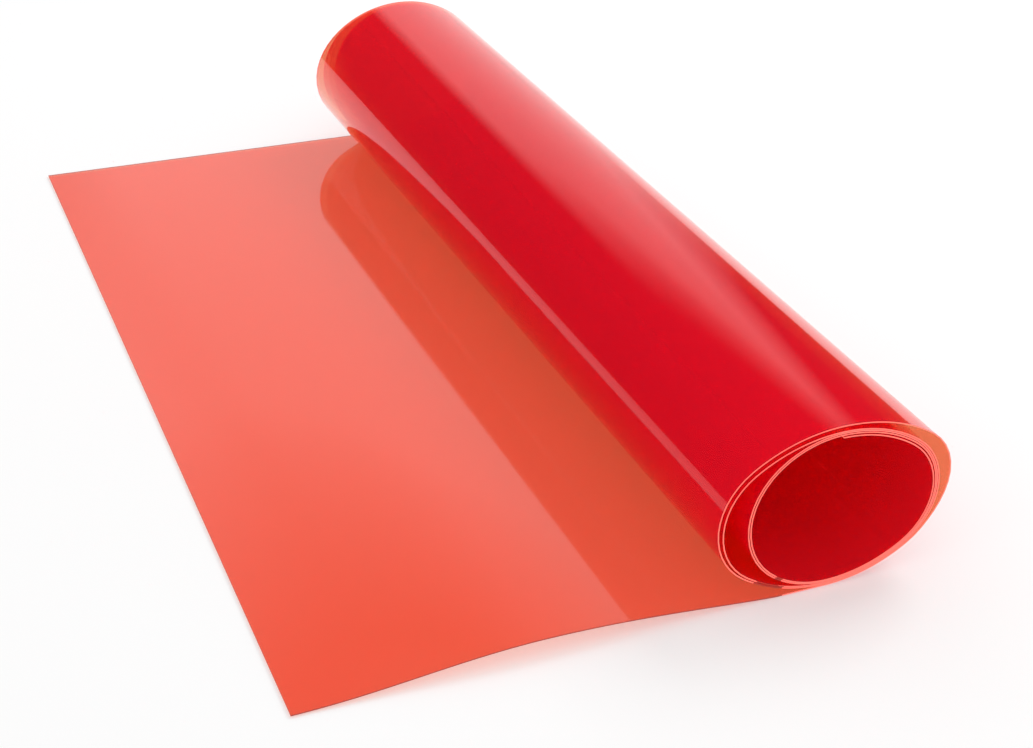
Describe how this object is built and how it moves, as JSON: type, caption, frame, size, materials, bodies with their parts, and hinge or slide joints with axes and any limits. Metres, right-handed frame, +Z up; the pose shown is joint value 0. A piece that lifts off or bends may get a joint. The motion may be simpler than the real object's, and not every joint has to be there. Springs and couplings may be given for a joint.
{
  "type": "roll of sign vinyl",
  "caption": "Sheet of see-through vinyl film on a clear release liner, wound on itself without a core, its outer end unrolled as a flat leaf.",
  "frame": {"origin": "middle of the footprint, on the surface that the sheet lies on", "axes": "+Y along the roll, +Z up, the unrolled leaf points to -X"},
  "size_m": [0.16, 0.305, 0.0465],
  "materials": {
    "red_film": "clear red, glossy",
    "clear_liner": "clear, glossy"
  },
  "bodies": {
    "roll": {"film_turn_1": "red_film", "film_turn_2": "red_film", "film_turn_3": "red_film", "film_turn_4": "red_film", "film_inner_half_turn": "red_film", "film_under_roll": "red_film", "liner_turn_1": "clear_liner", "liner_turn_2": "clear_liner", "liner_turn_3": "clear_liner", "liner_turn_4": "clear_liner", "liner_inner_half_turn": "clear_liner", "liner_under_roll": "clear_liner"},
    "leaf": {"film_leaf": "red_film", "liner_leaf": "clear_liner"},
    "liner_end": {"liner_peel_end": "clear_liner"}
  },
  "joints": [
    {"name": "leaf_lift", "type": "hinge", "parent": "roll", "child": "leaf", "pos_m": [0.014, 0, 0.0003], "axis": [0, 1, 0], "range_deg": [0, 70]},
    {"name": "liner_peel", "type": "hinge", "parent": "leaf", "child": "liner_end", "pos_m": [-0.055, 0, 0.0003], "axis": [0, 1, 0], "range_deg": [0, 120]}
  ]
}
